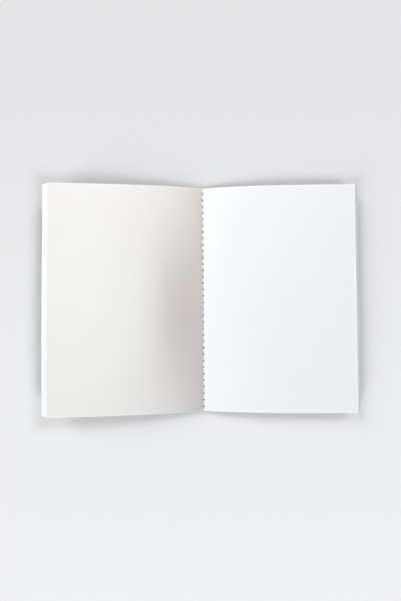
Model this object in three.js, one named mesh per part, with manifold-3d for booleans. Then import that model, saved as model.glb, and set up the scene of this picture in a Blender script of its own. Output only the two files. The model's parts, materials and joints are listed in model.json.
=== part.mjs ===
// An open sewn notebook, in millimetres. It lies at its centre spread with the fold along Y, +Z up and the
// table at z = 0. Folded sheets nest in a card cover, and one lockstitch runs down the fold.
import * as THREE from "three";
import { mergeVertices } from "three/addons/utils/BufferGeometryUtils.js";
import Module from "manifold-3d";

const wasm = await Module();
wasm.setup();

// Sheets and cover
const PAGE_HEIGHT = 210; // along the fold
const LEAF_WIDTH = 141; // the top leaf, from the fold to its outer edge, along the paper
const SHEETS = 20;
const PAPER = 0.1;
const COVER_CARD = 0.35;
const COVER_OVERHANG = 0.4; // past the lowest sheet
const LEFT_STEP = 0.32; // each leaf reaches this much further than the one above it
const RIGHT_STEP = 0.2;

// How closely the sheets lie, from the top of one to the top of the next
const FOLD_PITCH = 0.13; // held down by the stitches
const EDGE_PITCH = 0.165; // free at the outer edges
const SEAT_GAP = 0.05; // between the lowest sheet and the card

// The curve of each half: a shoulder beside the fold that levels off, and a straight lean
const LEFT = { side: -1, shoulder: 8.7, curl: 35, lean: 0.058, step: LEFT_STEP };
const RIGHT = { side: 1, shoulder: 9.9, curl: 45, lean: 0, step: RIGHT_STEP };
const FLAT_HALF = 8; // the cover lies flat on the table this far to each side
const LIFT_RUN = 26; // and reaches the slope of the pages over this run

// The strip of card under the stitches, drawn up off the table
const SPINE_HALF = 3;
const SPINE_CROWN = 1; // half of its level middle
const HINGE_GAP = 0.3; // from the strip to each cover panel

// Machine stitch
const THREAD = 0.45;
const STITCH = 6.09;
const HEAD_MARGIN = 4.9; // from the head of the sheet to the first needle hole
const TAIL_MARGIN = 4; // at least this much is left below the last hole
const THREAD_CLEARANCE = 0.08;
const NEEDLE_LEG = 0.43; // half of the distance between the two legs in one needle hole
const THREAD_SIDES = 5;

const threadRadius = THREAD / 2;
const fromFold = THREAD; // the top leaves start here, clear of the thread
const fromFoldLowest = fromFold + THREAD;

// Heights at the fold, from the table up
const bobbinZ = threadRadius + THREAD_CLEARANCE;
const spineLift = bobbinZ + threadRadius + THREAD_CLEARANCE;
const lowestTopZ = spineLift + COVER_CARD + SEAT_GAP + PAPER;
const foldTopZ = lowestTopZ + (SHEETS - 1) * FOLD_PITCH;
const needleZ = foldTopZ + threadRadius + THREAD_CLEARANCE;
const blockThickness = COVER_CARD + SEAT_GAP + PAPER + (SHEETS - 1) * EDGE_PITCH;

const smooth = (t) => {
  const u = Math.min(Math.max(t, 0), 1);
  return u * u * (3 - 2 * u);
};

// Height of the open page at a distance x from the fold
const pageZ = (half, x) => foldTopZ + half.shoulder * (1 - Math.exp(-x / half.curl)) + half.lean * x;

// Height of the cover's underside
const coverZ = (half, x) => smooth((x - FLAT_HALF) / LIFT_RUN) * (pageZ(half, x) - blockThickness);

// Top face of leaf number n, where 0 is the open page: the leaves share out the space down to the cover
const leafZ = (half, n, x) => {
  const overSpine = spineLift * (1 - smooth((x - SPINE_CROWN) / (FLAT_HALF - SPINE_CROWN)));
  const lowest = coverZ(half, x) + overSpine + COVER_CARD + SEAT_GAP + PAPER;
  return THREE.MathUtils.lerp(pageZ(half, x), lowest, n / (SHEETS - 1));
};

// How far from the fold a sheet of a given width reaches, measured along its curve
function reach(width, height) {
  const step = 0.5;
  let x = 0;
  let run = 0;
  while (run < width) {
    run += Math.hypot(step, height(x + step) - height(x));
    x += step;
  }
  return x - (run - width);
}

// Places across one half where every sheet bends, close together beside the fold
const NEAR_BENDS = 4;
const FAR_BENDS = 10;
const lastBend = 0.9 * LEAF_WIDTH;
const bends = [];
for (let i = 0; i <= NEAR_BENDS; i++) {
  bends.push(THREE.MathUtils.lerp(SPINE_CROWN, FLAT_HALF, i / NEAR_BENDS));
}
for (let i = 1; i <= FAR_BENDS; i++) {
  bends.push(THREE.MathUtils.lerp(FLAT_HALF, lastBend, (i / FAR_BENDS) ** 1.5));
}

// A sheet as long as the page is high, whose section runs from x = start to x = end
function bentSheet(half, start, end, thickness, topZ) {
  const across = [start, ...bends.filter((x) => x > start && x < end), end];
  const upper = across.map((x) => new THREE.Vector2(half.side * x, topZ(x)));
  const lower = across.map((x) => new THREE.Vector2(half.side * x, topZ(x) - thickness));
  return alongFold(new THREE.Shape([...upper, ...lower.reverse()]));
}

// Pulls a section in XZ along the whole fold
function alongFold(shape) {
  const geometry = new THREE.ExtrudeGeometry(shape, { depth: PAGE_HEIGHT, bevelEnabled: false });
  return geometry.rotateX(Math.PI / 2).translate(0, PAGE_HEIGHT / 2, 0);
}

function leaf(half, n) {
  const start = THREE.MathUtils.lerp(fromFold, fromFoldLowest, n / (SHEETS - 1));
  const topZ = (x) => leafZ(half, n, x);
  return bentSheet(half, start, reach(LEAF_WIDTH + n * half.step, topZ), PAPER, topZ);
}

function coverPanel(half) {
  const topZ = (x) => coverZ(half, x) + COVER_CARD;
  const width = LEAF_WIDTH + (SHEETS - 1) * half.step + COVER_OVERHANG;
  return bentSheet(half, SPINE_HALF + HINGE_GAP, reach(width, topZ), COVER_CARD, topZ);
}

// Needle holes from the head down
const stitches = Math.floor((PAGE_HEIGHT - HEAD_MARGIN - TAIL_MARGIN) / STITCH);
const holes = [];
for (let i = 0; i <= stitches; i++) {
  holes.push(PAGE_HEIGHT / 2 - HEAD_MARGIN - i * STITCH);
}

// The two threads lock inside the fold: the loop of the needle thread goes under the bobbin thread
const bobbinLeg = THREAD + THREAD_CLEARANCE; // half of the width of the bobbin thread's arch
const loopHalf = THREAD + 2 * THREAD_CLEARANCE; // half of the needle thread's loop, where it locks
const loopZ = spineLift + COVER_CARD + threadRadius;
const crossingZ = loopZ + THREAD + 2 * THREAD_CLEARANCE;

function solidOf(geometry) {
  const bare = geometry.index ? geometry.toNonIndexed() : geometry.clone();
  bare.deleteAttribute("normal");
  bare.deleteAttribute("uv");
  const merged = mergeVertices(bare, 1e-4);
  return new wasm.Manifold(
    new wasm.Mesh({
      numProp: 3,
      vertProperties: merged.attributes.position.array,
      triVerts: new Uint32Array(merged.index.array),
    }),
  );
}

function geometryOf(solid) {
  const mesh = solid.getMesh();
  const geometry = new THREE.BufferGeometry();
  geometry.setAttribute("position", new THREE.BufferAttribute(mesh.vertProperties, 3));
  geometry.setIndex(new THREE.BufferAttribute(mesh.triVerts, 1));
  geometry.computeVertexNormals();
  return geometry;
}

// The arched strip of card at the spine, with one hole for each stitch
function coverSpine() {
  const across = [-SPINE_HALF, -2 * SPINE_CROWN, -SPINE_CROWN, SPINE_CROWN, 2 * SPINE_CROWN, SPINE_HALF];
  const archZ = (x) => spineLift * (1 - smooth((Math.abs(x) - SPINE_CROWN) / (SPINE_HALF - SPINE_CROWN)));
  const lower = across.map((x) => new THREE.Vector2(x, archZ(x)));
  const upper = across.map((x) => new THREE.Vector2(x, archZ(x) + COVER_CARD));
  let strip = solidOf(alongFold(new THREE.Shape([...lower, ...upper.reverse()])));
  const holeWidth = 2 * (bobbinLeg + threadRadius + THREAD_CLEARANCE);
  const holeLength = 2 * (loopHalf + threadRadius + THREAD_CLEARANCE);
  for (const y of holes) {
    const hole = new THREE.BoxGeometry(holeWidth, holeLength, 4 * (spineLift + COVER_CARD));
    strip = strip.subtract(solidOf(hole.translate(0, y, 0)));
  }
  return geometryOf(strip);
}

// The needle thread stays in the plane of the fold: along the page, down one leg, round the loop, up again
function needlePath() {
  const turn = threadRadius + THREAD_CLEARANCE;
  const points = [new THREE.Vector3(0, PAGE_HEIGHT / 2, needleZ)];
  for (const y of holes) {
    const loop = [
      [NEEDLE_LEG + turn, needleZ],
      [NEEDLE_LEG, needleZ - turn],
      [loopHalf, crossingZ],
      [loopHalf - turn, loopZ + THREAD_CLEARANCE],
    ];
    const back = loop.map(([along, z]) => [-along, z]).reverse();
    for (const [along, z] of [...loop, [0, loopZ], ...back]) {
      points.push(new THREE.Vector3(0, y + along, z));
    }
  }
  points.push(new THREE.Vector3(0, -PAGE_HEIGHT / 2, needleZ));
  return points;
}

// The bobbin thread runs under the spine and arches through every loop of the needle thread, side to side
function bobbinPath() {
  const turn = threadRadius + THREAD_CLEARANCE;
  const points = [new THREE.Vector3(-bobbinLeg, PAGE_HEIGHT / 2, bobbinZ)];
  for (const y of holes) {
    points.push(new THREE.Vector3(-bobbinLeg, y + turn, bobbinZ));
    points.push(new THREE.Vector3(-bobbinLeg, y, bobbinZ + turn));
    points.push(new THREE.Vector3(-bobbinLeg, y, crossingZ - turn));
    points.push(new THREE.Vector3(turn - bobbinLeg, y, crossingZ));
    points.push(new THREE.Vector3(bobbinLeg - turn, y, crossingZ));
    points.push(new THREE.Vector3(bobbinLeg, y, crossingZ - turn));
    points.push(new THREE.Vector3(bobbinLeg, y, bobbinZ + turn));
    points.push(new THREE.Vector3(bobbinLeg, y - turn, bobbinZ));
  }
  points.push(new THREE.Vector3(bobbinLeg, -PAGE_HEIGHT / 2, bobbinZ));
  return points;
}

// A closed tube with one ring of points at each point of the path
function threadTube(path) {
  const positions = [];
  const faces = [];
  const across = new THREE.Vector3(1, 0, 0);
  path.forEach((point, i) => {
    const before = path[Math.max(i - 1, 0)];
    const after = path[Math.min(i + 1, path.length - 1)];
    const ahead = after.clone().sub(before).normalize();
    across.addScaledVector(ahead, -across.dot(ahead)).normalize();
    const up = ahead.clone().cross(across);
    for (let side = 0; side < THREAD_SIDES; side++) {
      const angle = (2 * Math.PI * side) / THREAD_SIDES;
      const vertex = point
        .clone()
        .addScaledVector(across, threadRadius * Math.cos(angle))
        .addScaledVector(up, threadRadius * Math.sin(angle));
      positions.push(vertex.x, vertex.y, vertex.z);
    }
  });
  for (let i = 0; i + 1 < path.length; i++) {
    for (let side = 0; side < THREAD_SIDES; side++) {
      const a = i * THREAD_SIDES + side;
      const b = i * THREAD_SIDES + ((side + 1) % THREAD_SIDES);
      faces.push(a, b, b + THREAD_SIDES, a, b + THREAD_SIDES, a + THREAD_SIDES);
    }
  }
  const lastRing = (path.length - 1) * THREAD_SIDES;
  for (let side = 1; side + 1 < THREAD_SIDES; side++) {
    faces.push(0, side + 1, side);
    faces.push(lastRing, lastRing + side, lastRing + side + 1);
  }
  const geometry = new THREE.BufferGeometry();
  geometry.setAttribute("position", new THREE.Float32BufferAttribute(positions, 3));
  geometry.setIndex(faces);
  geometry.computeVertexNormals();
  return geometry;
}

const paper = new THREE.MeshStandardMaterial({ color: 0xf3f4f5, roughness: 0.85, metalness: 0 });
const card = new THREE.MeshStandardMaterial({ color: 0xe9e9e6, roughness: 0.7, metalness: 0 });
const cotton = new THREE.MeshStandardMaterial({ color: 0xf6f5f1, roughness: 0.9, metalness: 0 });

function named(name, geometry, material) {
  const mesh = new THREE.Mesh(geometry, material);
  mesh.name = name;
  return mesh;
}

const notebook = new THREE.Group();
const frontHalf = new THREE.Group();
const backHalf = new THREE.Group();
notebook.add(frontHalf, backHalf);

for (let n = 0; n < SHEETS; n++) {
  const number = String(n + 1).padStart(2, "0");
  frontHalf.add(named("left_leaf_" + number, leaf(LEFT, n), paper));
  backHalf.add(named("right_leaf_" + number, leaf(RIGHT, n), paper));
}
frontHalf.add(named("front_cover", coverPanel(LEFT), card));
backHalf.add(named("back_cover", coverPanel(RIGHT), card));
backHalf.add(named("cover_spine", coverSpine(), card));
backHalf.add(named("needle_thread", threadTube(needlePath()), cotton));
backHalf.add(named("bobbin_thread", threadTube(bobbinPath()), cotton));

// The halves turn about the needle thread. They meet where the slopes of both pages add up to the most.
const slopeAt = (half, x) => Math.atan2(pageZ(half, x) - needleZ, x);
let meeting = 0;
for (let x = fromFold; x < LEAF_WIDTH; x += 0.5) {
  meeting = Math.max(meeting, slopeAt(LEFT, x) + slopeAt(RIGHT, x));
}
const closing = 180 - THREE.MathUtils.radToDeg(meeting);
console.log("hinge height " + needleZ.toFixed(3) + " mm, pages meet at " + closing.toFixed(2) + " degrees");

export default notebook;
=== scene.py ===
"""An open sewn notebook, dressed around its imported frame.

Lengths are in metres unless a name says otherwise. The fold runs along Y, the spread along X, +Z is up.
"""

import json
import math

import bpy
import numpy as np
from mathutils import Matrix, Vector


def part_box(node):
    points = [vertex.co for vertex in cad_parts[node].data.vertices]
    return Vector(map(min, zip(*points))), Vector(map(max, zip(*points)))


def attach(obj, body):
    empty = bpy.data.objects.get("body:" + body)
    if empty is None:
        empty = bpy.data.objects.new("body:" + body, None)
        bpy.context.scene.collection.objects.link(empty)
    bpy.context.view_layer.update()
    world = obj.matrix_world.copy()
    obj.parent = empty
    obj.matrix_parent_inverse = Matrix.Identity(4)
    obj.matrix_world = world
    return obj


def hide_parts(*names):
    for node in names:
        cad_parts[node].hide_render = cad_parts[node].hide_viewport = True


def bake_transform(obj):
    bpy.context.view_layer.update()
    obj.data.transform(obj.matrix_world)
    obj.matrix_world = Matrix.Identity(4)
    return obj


MM = 0.001

# The notebook, as it is built
SHEETS = 20
PAPER = 0.1 * MM
CARD = 0.35 * MM
FOLD_SLIT = 0.015 * MM

# Machine stitch down the fold
THREAD = 0.45 * MM
THREAD_CLEARANCE = 0.08 * MM
STITCH = 6.09 * MM
HEAD_MARGIN = 4.9 * MM
TAIL_MARGIN = 4 * MM
NEEDLE_LEG = 0.43 * MM

# Twist of the thread. Its core has one share of the full radius, and the bulge of a ply adds the other.
PLIES = 3
PLY_TURN = 1.5 * MM
CORE_SHARE = 0.8
BULGE_SHARE = 0.2
THREAD_SIDES = 12
THREAD_STEP = 0.14 * MM

# Needle holes, the painted shade round them, and the pull of the stitches
HOLE_HALF_WIDTH = 0.6 * MM
HOLE_HALF_LENGTH = 0.85 * MM
HOLE_SHADE_REACH = 0.3 * MM
DIMPLE_DEPTH = 0.25 * MM
DIMPLE_RADIUS = 1.5 * MM

# Cut edges. The points nearer than the mark get a painted highlight along the edge.
RIM = 1.1 * MM
RIM_FADE = 0.2 * MM
RIM_MARK = 0.99 * RIM
SHARP_CORNER = 0.4 * MM
LEFT_WORN_CORNER = 1.7 * MM
RIGHT_WORN_CORNER = 0.8 * MM
CORNER_REACH = 5 * MM
FRAY = 0.05 * MM
FRAY_LENGTHS = (9 * MM, 37 * MM)
FRAY_SHIFT = 1.7

# Ripples of the paper: a height, and the lengths across and along in which the ripple turns one radian
SHARED_RIPPLE = (0.1 * MM, 23 * MM, 31 * MM)
SLANTED_RIPPLE = (0.06 * MM, 45 * MM, 17 * MM)
OWN_RIPPLE = (0.012 * MM, 19 * MM, 13 * MM)
RIPPLE_SHIFT = (1.3, 0.6)
SHIFT_PER_SHEET = 2.1
FLAT_BESIDE_FOLD = 12 * MM
RIPPLE_GROWTH = 60 * MM

# Swell of the left half: it rises over the run from the fold, then settles by a share over the next stretch
SWELL = 2.9 * MM
SWELL_AT = -10 * MM
SWELL_REACH = 105 * MM
SWELL_START = 3 * MM
SWELL_RUN = 50 * MM
SWELL_SETTLE = 0.85
SWELL_SETTLE_RUN = 110 * MM

# Grid of a sheet, which is fine on the top sheets and the cover. Its columns start with a first step
# beside the holes, which grows by a factor up to the longest step.
FINE_SHEETS = 2
FINE_STEPS = (0.25 * MM, 1.13, 5 * MM)
PLAIN_STEPS = (0.6 * MM, 1.28, 9 * MM)

# Its rows lie at these distances from the head and the tail, and, where it is fine, from each hole
END_ROWS = (0, 0.1 * MM, 0.25 * MM, 0.45 * MM, RIM - RIM_FADE, RIM, LEFT_WORN_CORNER + 0.1 * MM)
DIMPLE_ROWS = (1.3 * MM, 2 * MM)
SAME_ROW = 0.001 * MM

# An edge where the surface turns by more than this is shaded sharp
SHARP_ANGLE_DEG = 40

# Camera of the photograph
CAMERA_AT = (-3.54 * MM, -7.48 * MM, 296.7 * MM)
CAMERA_TILT_DEG = (1.17, -0.158, -0.37)
CAMERA_LENS_MM = 18.55
CAMERA_SENSOR_MM = 36
CAMERA_NEAREST = 0.01
CAMERA_FARTHEST = 20

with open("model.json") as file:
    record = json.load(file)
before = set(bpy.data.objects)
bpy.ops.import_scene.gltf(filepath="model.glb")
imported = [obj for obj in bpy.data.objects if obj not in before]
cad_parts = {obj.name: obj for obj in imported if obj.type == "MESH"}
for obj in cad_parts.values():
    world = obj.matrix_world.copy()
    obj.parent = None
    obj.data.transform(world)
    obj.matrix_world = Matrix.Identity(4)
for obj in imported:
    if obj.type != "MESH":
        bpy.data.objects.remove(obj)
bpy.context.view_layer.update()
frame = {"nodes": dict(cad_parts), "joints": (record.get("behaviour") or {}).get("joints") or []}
joints = {joint["name"]: joint for joint in frame["joints"]}
fold_axis_z = joints["close_front_half"]["pos_m"][2]
page_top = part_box("right_leaf_01")[1].y
page_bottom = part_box("right_leaf_01")[0].y
stitches = int((page_top - page_bottom - HEAD_MARGIN - TAIL_MARGIN) / STITCH)
hole_rows = [page_top - HEAD_MARGIN - i * STITCH for i in range(stitches + 1)]


# Curves read from the frame


def section(node):
    """The upper line of a CAD sheet's cross-section, as x and z, in order of x."""
    heights = {}
    for vertex in frame["nodes"][node].data.vertices:
        heights.setdefault(round(vertex.co.x, 6), []).append(vertex.co.z)
    return [(x, max(heights[x])) for x in sorted(heights)]


class Curve:
    """A smooth height over x through given points."""

    def __init__(self, points):
        self.x = np.array([p[0] for p in points])
        self.z = np.array([p[1] for p in points])
        run = np.diff(self.x)
        slope = np.diff(self.z) / run
        self.slopes = np.empty_like(self.z)
        self.slopes[0] = slope[0]
        self.slopes[-1] = slope[-1]
        self.slopes[1:-1] = (run[1:] * slope[:-1] + run[:-1] * slope[1:]) / (run[:-1] + run[1:])

    def __call__(self, x):
        i = np.clip(np.searchsorted(self.x, x) - 1, 0, len(self.x) - 2)
        run = self.x[i + 1] - self.x[i]
        t = (x - self.x[i]) / run
        inside = np.clip(t, 0, 1)
        start = (1 + 2 * inside) * (1 - inside) ** 2 * self.z[i]
        start += inside * (1 - inside) ** 2 * run * self.slopes[i]
        end = inside**2 * (3 - 2 * inside) * self.z[i + 1]
        end += inside**2 * (inside - 1) * run * self.slopes[i + 1]
        beyond = (t - inside) * run * np.where(t > 1, self.slopes[i + 1], self.slopes[i])
        return start + end + beyond


def smooth(t):
    t = np.clip(t, 0, 1)
    return t * t * (3 - 2 * t)


# Where the grid lines of a sheet lie


def spread(reach, fine):
    """Distances from the fold to the outer edge, close together at the holes and at the edge."""
    places = [0, HOLE_HALF_WIDTH / 4, HOLE_HALF_WIDTH / 2, HOLE_HALF_WIDTH]
    step, growth, longest = FINE_STEPS if fine else PLAIN_STEPS
    while places[-1] + step < reach - CORNER_REACH - step:
        places.append(places[-1] + step)
        step = min(step * growth, longest)
    from_edge = [CORNER_REACH, CORNER_REACH / 2, RIM, RIM - RIM_FADE, RIM / 2, 0]
    return places + [reach - d for d in from_edge]


def rows(fine):
    """Places along the fold, from the tail to the head, with a line at both ends of each hole."""
    places = [page_top - d for d in END_ROWS] + [page_bottom + d for d in END_ROWS]
    for y in hole_rows:
        places += [y - HOLE_HALF_LENGTH, y + HOLE_HALF_LENGTH]
    if fine:
        for y in hole_rows:
            places += [y, y - STITCH / 2]
            places += [y - d for d in DIMPLE_ROWS] + [y + d for d in DIMPLE_ROWS]
    kept = sorted(y for y in places if page_bottom <= y <= page_top)
    return [y for i, y in enumerate(kept) if i == 0 or y - kept[i - 1] > SAME_ROW]


# Meshes


def add_object(name, data):
    thing = bpy.data.objects.new(name, data)
    bpy.context.scene.collection.objects.link(thing)
    return thing


def slab(name, x, y, top, thickness, is_open, marks):
    """A closed thin sheet over a grid: x, y and top are 2-D arrays, is_open marks the cells left out.

    The marks are stored on the points for the material to read.
    """
    n_rows, n_columns = x.shape
    upper = np.stack([x, y, top], -1).reshape(-1, 3)
    lower = upper - [0, 0, thickness]
    index = np.arange(n_rows * n_columns).reshape(n_rows, n_columns)
    below = n_rows * n_columns
    solid = np.pad(~is_open, 1)
    a, b = index[:-1, :-1], index[:-1, 1:]
    c, d = index[1:, 1:], index[1:, :-1]
    here = solid[1:-1, 1:-1]
    faces = [np.stack([a, b, c, d], -1)[here]]
    faces.append(np.stack([a, d, c, b], -1)[here] + below)
    neighbours = {(1, 0): (d, a), (1, 2): (b, c), (0, 1): (a, b), (2, 1): (c, d)}
    for (row, column), (start, end) in neighbours.items():
        there = solid[row : row + here.shape[0], column : column + here.shape[1]]
        walls = np.stack([end, start, start + below, end + below], -1)
        faces.append(walls[here & ~there])
    faces = np.concatenate(faces)
    used = np.unique(faces)
    renumber = np.full(2 * below, -1)
    renumber[used] = np.arange(len(used))
    points = np.concatenate([upper, lower])[used]
    mesh = bpy.data.meshes.new(name)
    mesh.from_pydata(points.tolist(), [], renumber[faces].tolist())
    mesh.update()
    for mark, where in marks.items():
        values = np.concatenate([where.ravel(), where.ravel()])[used].astype(np.float32)
        mesh.attributes.new(mark, "FLOAT", "POINT").data.foreach_set("value", values)
    mesh.shade_smooth()
    mesh.set_sharp_from_angle(angle=math.radians(SHARP_ANGLE_DEG))
    return add_object(name, mesh)


def ripples(number, x, y):
    """Small waves of the paper: a slow and a slanted one that all sheets share, and a little of its own."""
    growth = smooth((np.abs(x) - FLAT_BESIDE_FOLD) / RIPPLE_GROWTH)
    height, across, along = SHARED_RIPPLE
    shared = height * np.sin(x / across + RIPPLE_SHIFT[0]) * np.cos(y / along + RIPPLE_SHIFT[1])
    height, across, along = SLANTED_RIPPLE
    shared += height * np.sin(y / along + x / across)
    height, across, along = OWN_RIPPLE
    own = height * np.sin(y / along + SHIFT_PER_SHEET * number) * np.sin(x / across + number)
    return growth * (shared + own)


def swell(x, y):
    """The left half stands steeper beside the fold halfway down than it does at the head and the tail."""
    halfway = smooth(1 - np.abs(y - SWELL_AT) / SWELL_REACH)
    rise = smooth((-x - SWELL_START) / (SWELL_RUN - SWELL_START))
    settle = 1 - SWELL_SETTLE * smooth((-x - SWELL_RUN) / SWELL_SETTLE_RUN)
    return SWELL * halfway * rise * settle


def dimples(x, y):
    """The pull of the stitches round each needle hole."""
    depth = np.zeros_like(x)
    for hole in hole_rows:
        depth += np.exp(-(x**2 + (y - hole) ** 2) / DIMPLE_RADIUS**2)
    return -DIMPLE_DEPTH * np.clip(depth, 0, 1)


def fray(number, y):
    """How far the trimmed edge of a sheet strays from a straight line."""
    short, long = FRAY_LENGTHS
    return FRAY * np.sin(y / short + FRAY_SHIFT * number) * np.sin(y / long + number)


def sheet_mesh(name, number, curve, columns, thickness, fine):
    """One sheet, cover or leaf with its rounded corners, needle holes and small unevenness."""
    x, y = np.meshgrid(np.array(columns), np.array(rows(fine)))
    from_end = np.minimum(y - page_bottom, page_top - y)
    strays = fray(number, y)
    rim = from_end < RIM_MARK
    for end, side, worn in ((columns[0], -1, LEFT_WORN_CORNER), (columns[-1], 1, RIGHT_WORN_CORNER)):
        if abs(end) < CORNER_REACH:
            continue
        radius = SHARP_CORNER if number == 1 else worn
        cut = radius - np.sqrt(radius**2 - np.clip(radius - from_end, 0, radius) ** 2)
        near_edge = np.clip(1 - (end - x) * side / CORNER_REACH, 0, 1)
        x = x - side * near_edge * (cut + strays)
        # The outer edge of the top left page keeps the tone of the page, with no painted edge highlight
        if side > 0 or number > 1:
            rim = rim | ((end - x) * side < RIM_MARK + cut)
    z = curve(x) + (ripples(number, x, y) + swell(x, y)) + dimples(x, y)
    middle_x = (x[:-1, :-1] + x[1:, 1:]) / 2
    middle_y = (y[:-1, :-1] + y[1:, 1:]) / 2
    is_open = np.zeros(middle_x.shape, bool)
    painted_hole_shade = np.zeros(x.shape, bool)
    for hole in hole_rows:
        is_open |= (np.abs(middle_x) < HOLE_HALF_WIDTH) & (np.abs(middle_y - hole) < HOLE_HALF_LENGTH)
        # Painted shade on the paper in and round each hole, on the sheets below the top one
        if number > 1:
            beside = np.abs(x) < HOLE_HALF_WIDTH + HOLE_SHADE_REACH
            painted_hole_shade |= beside & (np.abs(y - hole) < HOLE_HALF_LENGTH + HOLE_SHADE_REACH)
    if number > SHEETS:
        z = np.maximum(z, thickness)
    return slab(name, x, y, z, thickness, is_open, {"rim": rim, "hole": painted_hole_shade})


def thread_mesh(name, path):
    """A thread of twisted plies along a path of points."""
    line = catmull_rom(np.array(path), THREAD_STEP)
    line[:, 2] = np.clip(line[:, 2], THREAD / 2, fold_axis_z)
    ahead = np.gradient(line, axis=0)
    ahead /= np.linalg.norm(ahead, axis=1, keepdims=True)
    run = np.concatenate([[0], np.cumsum(np.linalg.norm(np.diff(line, axis=0), axis=1))])
    across = np.array([1.0, 0, 0])
    angles = np.linspace(0, 2 * math.pi, THREAD_SIDES, endpoint=False)
    rings = []
    for point, direction, length in zip(line, ahead, run):
        across = across - direction * (across @ direction)
        across = across / np.linalg.norm(across)
        up = np.cross(direction, across)
        twist = 2 * math.pi * length / PLY_TURN
        radius = THREAD / 2 * (CORE_SHARE + BULGE_SHARE * np.abs(np.cos((angles - twist) * PLIES / 2)))
        sideways = np.outer(radius * np.cos(angles), across)
        upwards = np.outer(radius * np.sin(angles), up)
        rings.append(point + sideways + upwards)
    points = np.concatenate(rings)
    index = np.arange(len(points)).reshape(-1, THREAD_SIDES)
    turned = np.roll(index, -1, axis=1)
    faces = np.stack([index[:-1], turned[:-1], turned[1:], index[1:]], -1).reshape(-1, 4).tolist()
    faces.append(index[0][::-1].tolist())
    faces.append(index[-1].tolist())
    mesh = bpy.data.meshes.new(name)
    mesh.from_pydata(points.tolist(), [], faces)
    mesh.shade_smooth()
    mesh.update()
    return add_object(name, mesh)


def catmull_rom(points, spacing):
    """A smooth line through the points, with a point about every spacing."""
    never_zero = 1e-9
    padded = np.concatenate([[2 * points[0] - points[1]], points, [2 * points[-1] - points[-2]]])
    line = []
    for before, start, end, after in zip(padded, padded[1:], padded[2:], padded[3:]):
        steps = max(1, math.ceil(np.linalg.norm(end - start) / spacing))
        gaps = (start - before, end - start, after - end)
        knots = [math.sqrt(np.linalg.norm(gap)) + never_zero for gap in gaps]
        leave = gaps[1] / knots[1] - (end - before) / (knots[0] + knots[1]) + gaps[0] / knots[0]
        arrive = gaps[2] / knots[2] - (after - start) / (knots[1] + knots[2]) + gaps[1] / knots[1]
        leave *= knots[1]
        arrive *= knots[1]
        for i in range(steps):
            t = i / steps
            line.append(
                (2 * t**3 - 3 * t**2 + 1) * start
                + (t**3 - 2 * t**2 + t) * leave
                + (3 * t**2 - 2 * t**3) * end
                + (t**3 - t**2) * arrive
            )
    line.append(points[-1])
    return np.array(line)


# Routes of the two threads, as in the CAD

bobbin_z = THREAD / 2 + THREAD_CLEARANCE
spine_lift = bobbin_z + THREAD / 2 + THREAD_CLEARANCE
loop_z = spine_lift + CARD + THREAD / 2
crossing_z = loop_z + THREAD + 2 * THREAD_CLEARANCE
loop_half = THREAD + 2 * THREAD_CLEARANCE
bobbin_leg = THREAD + THREAD_CLEARANCE
turn = THREAD / 2 + THREAD_CLEARANCE


def needle_path():
    points = [(0, page_top, fold_axis_z)]
    for y in hole_rows:
        loop = [
            (NEEDLE_LEG + turn, fold_axis_z),
            (NEEDLE_LEG, fold_axis_z - turn),
            (loop_half, crossing_z),
            (loop_half - turn, loop_z + THREAD_CLEARANCE),
        ]
        back = [(-along, z) for along, z in reversed(loop)]
        points += [(0, y + along, z) for along, z in [*loop, (0, loop_z), *back]]
    points.append((0, page_bottom, fold_axis_z))
    return points


def bobbin_path():
    points = [(-bobbin_leg, page_top, bobbin_z)]
    for y in hole_rows:
        points += [
            (-bobbin_leg, y + turn, bobbin_z),
            (-bobbin_leg, y, bobbin_z + turn),
            (-bobbin_leg, y, crossing_z - turn),
            (turn - bobbin_leg, y, crossing_z),
            (bobbin_leg - turn, y, crossing_z),
            (bobbin_leg, y, crossing_z - turn),
            (bobbin_leg, y, bobbin_z + turn),
            (bobbin_leg, y - turn, bobbin_z),
        ]
    points.append((bobbin_leg, page_bottom, bobbin_z))
    return points


# Materials

# Painted shade: dark paper round the holes on the sheets below the top one, and dark thread inside the holes
PAINTED_HOLE_SHADE = (0.16, 0.155, 0.15, 1)

# Paper and card. Squeezed coordinates draw the fibres out along Y.
CLOUD_SCALE = 45
FIBRE_SQUEEZE = (1, 0.35, 1)
FIBRE_RANGE = (0.35, 0.7)
FIBRE_SHARE = 0.5
# Share of the painted highlight along cut edges
RIM_SHARE = 0.8
ROUGHNESS_RANGE = (0.3, 0.7)
ROUGHNESS_SPREAD = 0.06
TOOTH_SCALE = 2600
TOOTH_DEPTH = 0.05 * MM

# Thread. Painted shade darkens it between two depths under the pages, and it turns pale again between two
# heights at the spine.
THREAD_COLOUR = (0.95, 0.95, 0.945, 1)
THREAD_SHADE = (0.87, 0.865, 0.85, 1)
STRAND_SCALE = 5200
STRAND_DEPTH = 0.04 * MM
DARK_FROM = 0.25 * MM
DARK_AT = 0.5 * MM
PALE_BELOW_LOOP = 0.1 * MM
DARK_ABOVE_LOOP = 0.15 * MM

# Floor. Its tone changes evenly between two places along Y.
FLOOR_HALF = 6
FLOOR_NEAR = (0.87, 0.88, 0.895, 1)
FLOOR_FAR = (0.776, 0.781, 0.797, 1)
FLOOR_NEAR_AT = -280 * MM
FLOOR_FAR_AT = 220 * MM


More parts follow.
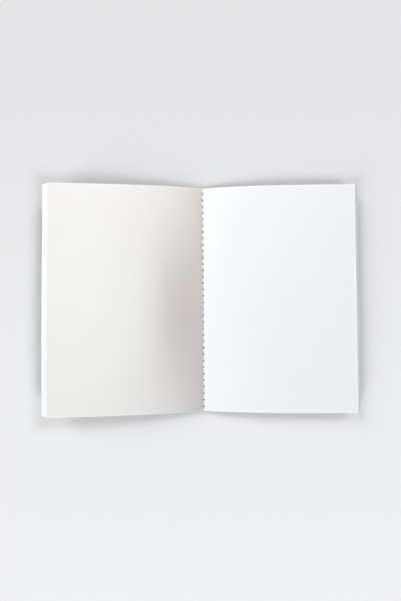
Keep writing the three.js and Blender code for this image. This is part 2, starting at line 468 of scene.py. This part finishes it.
class Nodes:
    """A short way to add and join shader nodes."""

    def __init__(self, tree):
        self.tree = tree
        tree.nodes.clear()

    def add(self, kind, inputs=None, **settings):
        node = self.tree.nodes.new(kind)
        for key, value in settings.items():
            setattr(node, key, value)
        for key, value in (inputs or {}).items():
            if isinstance(value, bpy.types.NodeSocket):
                self.tree.links.new(value, node.inputs[key])
            else:
                node.inputs[key].default_value = value
        return node

    def place(self):
        return self.add("ShaderNodeTexCoord").outputs["Object"]

    def noise(self, place, scale, detail, roughness):
        inputs = {"Vector": place, "Scale": scale, "Detail": detail, "Roughness": roughness}
        return self.add("ShaderNodeTexNoise", inputs).outputs[0]

    def mix(self, share, first, second):
        """The first colour where the share is 0, the second where it is 1."""
        return self.add("ShaderNodeMix", {0: share, 6: first, 7: second}, data_type="RGBA").outputs[2]

    def remap(self, value, low, high, at_low, at_high):
        return self.add("ShaderNodeMapRange", {0: value, 1: low, 2: high, 3: at_low, 4: at_high}).outputs[0]

    def combine(self, operation, first, second):
        return self.add("ShaderNodeMath", {0: first, 1: second}, operation=operation).outputs[0]

    def bump(self, height, strength, distance):
        inputs = {"Height": height, "Strength": strength, "Distance": distance}
        return self.add("ShaderNodeBump", inputs).outputs[0]

    def surface(self, inputs):
        """The shader of the surface, joined to the output."""
        shader = self.add("ShaderNodeBsdfPrincipled", inputs)
        self.add("ShaderNodeOutputMaterial", {"Surface": shader.outputs[0]})


def new_material(name):
    material = bpy.data.materials.new(name)
    material.use_nodes = True
    return material, Nodes(material.node_tree)


def paper_material(name, body, shade, edge_highlight_colour, roughness, fibre_scale, relief):
    """Uncoated stock: faint clouds and fibres in the colour, a fine tooth, a painted highlight at cut edges,
    and painted shade round the needle holes.
    """
    material, nodes = new_material(name)
    place = nodes.place()
    clouds = nodes.noise(place, CLOUD_SCALE, detail=4, roughness=0.6)
    squeezed = nodes.add("ShaderNodeMapping", {"Vector": place, "Scale": FIBRE_SQUEEZE}).outputs[0]
    fibres = nodes.noise(squeezed, fibre_scale, detail=5, roughness=0.7)
    tooth = nodes.noise(place, TOOTH_SCALE, detail=3, roughness=0.6)
    rim = nodes.add("ShaderNodeAttribute", attribute_name="rim").outputs["Fac"]
    hole = nodes.add("ShaderNodeAttribute", attribute_name="hole").outputs["Fac"]
    colour = nodes.mix(clouds, body, shade)
    colour = nodes.mix(nodes.remap(fibres, *FIBRE_RANGE, 0, FIBRE_SHARE), colour, shade)
    # Painted highlight along the cut edges
    colour = nodes.mix(nodes.combine("MULTIPLY", rim, RIM_SHARE), colour, edge_highlight_colour)
    # Painted shade in and round the needle holes
    colour = nodes.mix(hole, colour, PAINTED_HOLE_SHADE)
    lowest, highest = roughness - ROUGHNESS_SPREAD, roughness + ROUGHNESS_SPREAD
    nodes.surface(
        {
            "Base Color": colour,
            "Roughness": nodes.remap(fibres, *ROUGHNESS_RANGE, lowest, highest),
            "Normal": nodes.bump(nodes.combine("ADD", tooth, fibres), relief, TOOTH_DEPTH),
            "Specular IOR Level": 0.25,
        }
    )
    return material


def thread_material():
    """Twisted white sewing thread with a soft sheen and fine strands, and painted shade where it runs inside
    the holes.
    """
    material, nodes = new_material("sewing_thread")
    place = nodes.place()
    strands = nodes.noise(place, STRAND_SCALE, detail=3, roughness=0.6)
    height = nodes.add("ShaderNodeSeparateXYZ", {0: place}).outputs["Z"]
    # Painted shade: the thread is darkened where it runs down inside the holes
    under_pages = nodes.remap(height, fold_axis_z - DARK_AT, fold_axis_z - DARK_FROM, 1, 0)
    over_spine = nodes.remap(height, loop_z - PALE_BELOW_LOOP, loop_z + DARK_ABOVE_LOOP, 0, 1)
    sunk = nodes.combine("MULTIPLY", under_pages, over_spine)
    clean = nodes.mix(strands, THREAD_COLOUR, THREAD_SHADE)
    nodes.surface(
        {
            "Base Color": nodes.mix(sunk, clean, PAINTED_HOLE_SHADE),
            "Roughness": 0.75,
            "Normal": nodes.bump(strands, 0.5, STRAND_DEPTH),
            "Sheen Weight": 0.3,
            "Specular IOR Level": 0.3,
        }
    )
    return material


def floor_material():
    """A plain pale surface that is a little darker away from the viewer."""
    material, nodes = new_material("pale_floor")
    along = nodes.add("ShaderNodeSeparateXYZ", {0: nodes.place()}).outputs["Y"]
    colour = nodes.mix(nodes.remap(along, FLOOR_NEAR_AT, FLOOR_FAR_AT, 0, 1), FLOOR_NEAR, FLOOR_FAR)
    nodes.surface({"Base Color": colour, "Roughness": 0.9, "Specular IOR Level": 0.1})
    return material


# Lights. A level is the share of white that the light gives to a white sheet lying flat.
# Azimuth 0 is the right-hand side, 90 the head of the pages and 180 the left-hand side.

WORLD_LEVEL = 0.2
BACKDROP = (0.8, 0.805, 0.82, 1)
WHITE = (1, 1, 1)
SOFT_DEG = 20

# Name, azimuth, elevation, level and colour of each sun
LEFT_PAGE_SUNS = (
    ("window_low", 180, 22, 0.57, (0.94, 1.05, 1.005)),
    ("window_high", 180, 40, 0.055, (0.97, 1.03, 1)),
    ("page_fill", -90, 30, 0.13, (1.24, 0.82, 0.94)),
)
OTHER_SUNS = (
    ("window", 172, 45, 0.5, (0.965, 1.005, 1.03)),
    ("overhead", 90, 75, 0.16, (0.965, 1.005, 1.03)),
    ("tail_fill", -90, 20, 0.07, (0.965, 1.005, 1.03)),
)

# Name, azimuth, elevation and level of each pair of suns, which stand to either side of the azimuth
FLOOR_PAIRS = (
    ("left_low", 180, 20, 0.115),
    ("left_high", 180, 36, 0.275),
    ("right_low", 0, 36, 0.285),
    ("right_high", 0, 46, 0.125),
)
PAIR_TURN_DEG = 45

# Name, azimuth, power in watts and colour of each round panel at the head of the pages
LEFT_PAGE_PANEL = ("panel_left_page", 90, 0.39, (1.15, 1.02, 0.83))
OTHER_PANEL = ("panel_others", 100, 0.22, (1.1, 0.97, 0.93))
PANEL_ELEVATION = 30
PANEL_DISTANCE = 0.42
PANEL_SIZE = 0.2


def light_world():
    """A dim even light. The camera, reflections and see-through things get the pale backdrop instead."""
    world = bpy.data.worlds.new("studio")
    bpy.context.scene.world = world
    world.use_nodes = True
    nodes = Nodes(world.node_tree)
    light = nodes.add("ShaderNodeBackground", {0: (*WHITE, 1), 1: WORLD_LEVEL})
    backdrop = nodes.add("ShaderNodeBackground", {0: BACKDROP, 1: 1})
    rays = nodes.add("ShaderNodeLightPath").outputs
    seen = rays["Is Camera Ray"]
    for kind in ("Is Glossy Ray", "Is Transmission Ray"):
        seen = nodes.combine("MAXIMUM", seen, rays[kind])
    chosen = nodes.add("ShaderNodeMixShader", {0: seen, 1: light.outputs[0], 2: backdrop.outputs[0]})
    nodes.add("ShaderNodeOutputWorld", {0: chosen.outputs[0]})


def direction(azimuth, elevation):
    across, up = math.radians(azimuth), math.radians(elevation)
    return Vector((math.cos(across) * math.cos(up), math.sin(across) * math.cos(up), math.sin(up)))


def add_lamp(data, name, towards, distance, colour, lit):
    """A lamp that shines on the things in one collection only."""
    data.color = colour
    lamp = add_object(name, data)
    lamp.location = towards * distance
    lamp.rotation_mode = "QUATERNION"
    lamp.rotation_quaternion = towards.to_track_quat("Z", "Y")
    lamp.light_linking.receiver_collection = lit


def add_sun(name, azimuth, elevation, level, colour, lit):
    data = bpy.data.lights.new(name, "SUN")
    data.angle = math.radians(SOFT_DEG)
    data.energy = math.pi * level / math.sin(math.radians(elevation))
    add_lamp(data, name, direction(azimuth, elevation), 1, colour, lit)


def add_panel(name, azimuth, watts, colour, lit):
    data = bpy.data.lights.new(name, "AREA")
    data.shape = "DISK"
    data.size = PANEL_SIZE
    data.energy = watts
    add_lamp(data, name, direction(azimuth, PANEL_ELEVATION), PANEL_DISTANCE, colour, lit)


def group_of(name, things):
    group = bpy.data.collections.new(name)
    for thing in things:
        group.objects.link(thing)
    return group


def light_pieces():
    """The window grazes the left page, a softer light fills the rest, and the floor has its own lamps."""
    pieces = [thing for thing in bpy.context.scene.objects if thing.type == "MESH"]
    left_page = group_of("lit_left_page", [p for p in pieces if p.name == "page_left_01"])
    floor = group_of("lit_floor", [p for p in pieces if p.name == "floor"])
    others = group_of("lit_others", [p for p in pieces if p.name not in ("page_left_01", "floor")])
    for sun in LEFT_PAGE_SUNS:
        add_sun(*sun, left_page)
    for sun in OTHER_SUNS:
        add_sun(*sun, others)
    for name, azimuth, elevation, level in FLOOR_PAIRS:
        for end, turned in (("tail", -PAIR_TURN_DEG), ("head", PAIR_TURN_DEG)):
            add_sun(f"{name}_{end}", azimuth + turned, elevation, level / 2, WHITE, floor)
    add_panel(*LEFT_PAGE_PANEL, left_page)
    add_panel(*OTHER_PANEL, others)


def make_camera():
    data = bpy.data.cameras.new("camera")
    data.lens = CAMERA_LENS_MM
    data.sensor_width = CAMERA_SENSOR_MM
    data.clip_start = CAMERA_NEAREST
    data.clip_end = CAMERA_FARTHEST
    camera = add_object("camera", data)
    camera.location = CAMERA_AT
    camera.rotation_euler = [math.radians(a) for a in CAMERA_TILT_DEG]
    bpy.context.scene.camera = camera


def make_floor():
    half = FLOOR_HALF
    mesh = bpy.data.meshes.new("floor")
    corners = [(-half, -half, 0), (half, -half, 0), (half, half, 0), (-half, half, 0)]
    mesh.from_pydata(corners, [], [(0, 1, 2, 3)])
    floor = add_object("floor", mesh)
    floor.data.materials.append(floor_material())


# Building the notebook


def finish_with(piece, material, slot, *nodes):
    piece.data.materials.append(material)
    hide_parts(*nodes)


def bend_at_fold(piece, depth):
    """The piece's placement is baked into its mesh; the depth is not used."""
    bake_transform(piece)


def make_sheets(paper):
    """The top sheet is two leaves, because its right leaf turns. Each sheet below it is one folded piece."""
    for number in range(1, SHEETS + 1):
        left_name = f"left_leaf_{number:02d}"
        right_name = f"right_leaf_{number:02d}"
        curve = Curve(section(left_name) + section(right_name))
        fine = number <= FINE_SHEETS
        left = [-x for x in spread(-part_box(left_name)[0].x, fine)][::-1]
        right = spread(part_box(right_name)[1].x, fine)
        if number == 1:
            left[-1] = -FOLD_SLIT
            right[0] = FOLD_SLIT
            piece = sheet_mesh("page_left_01", number, curve, left, PAPER, fine)
            finish_with(piece, paper, "paper", left_name)
            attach(piece, "front_half")
            piece = sheet_mesh("page_right_01", number, curve, right, PAPER, fine)
            finish_with(piece, paper, "paper", right_name)
            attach(piece, "turning_leaf")
            continue
        piece = sheet_mesh(f"sheet_{number:02d}", number, curve, left[:-1] + right, PAPER, fine)
        finish_with(piece, paper, "paper", left_name, right_name)
        bend_at_fold(piece, fold_axis_z - float(curve(np.array([0.0]))[0]))


def make_cover(card):
    curve = Curve(section("front_cover") + section("cover_spine") + section("back_cover"))
    left = [-x for x in spread(-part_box("front_cover")[0].x, fine=True)][::-1]
    right = spread(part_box("back_cover")[1].x, fine=True)
    piece = sheet_mesh("cover", SHEETS + 1, curve, left[:-1] + right, CARD, fine=True)
    finish_with(piece, card, "cover_card", "front_cover", "cover_spine", "back_cover")
    bend_at_fold(piece, fold_axis_z - spine_lift)


def make_threads():
    material = thread_material()
    for name, path in (("needle_thread", needle_path()), ("bobbin_thread", bobbin_path())):
        piece = thread_mesh("sewn_" + name, path)
        finish_with(piece, material, "thread", name)
        bend_at_fold(piece, fold_axis_z - spine_lift)


bpy.context.scene.view_settings.view_transform = "Standard"
make_camera()
make_floor()
light_world()
make_sheets(
    paper_material(
        "page_paper",
        body=(0.9, 0.905, 0.91, 1),
        shade=(0.87, 0.873, 0.875, 1),
        edge_highlight_colour=(0.95, 0.95, 0.95, 1),
        roughness=0.85,
        fibre_scale=900,
        relief=0.35,
    )
)
make_cover(
    paper_material(
        "cover_stock",
        body=(0.74, 0.74, 0.73, 1),
        shade=(0.7, 0.7, 0.69, 1),
        edge_highlight_colour=(0.86, 0.86, 0.85, 1),
        roughness=0.75,
        fibre_scale=600,
        relief=0.5,
    )
)
make_threads()
light_pieces()
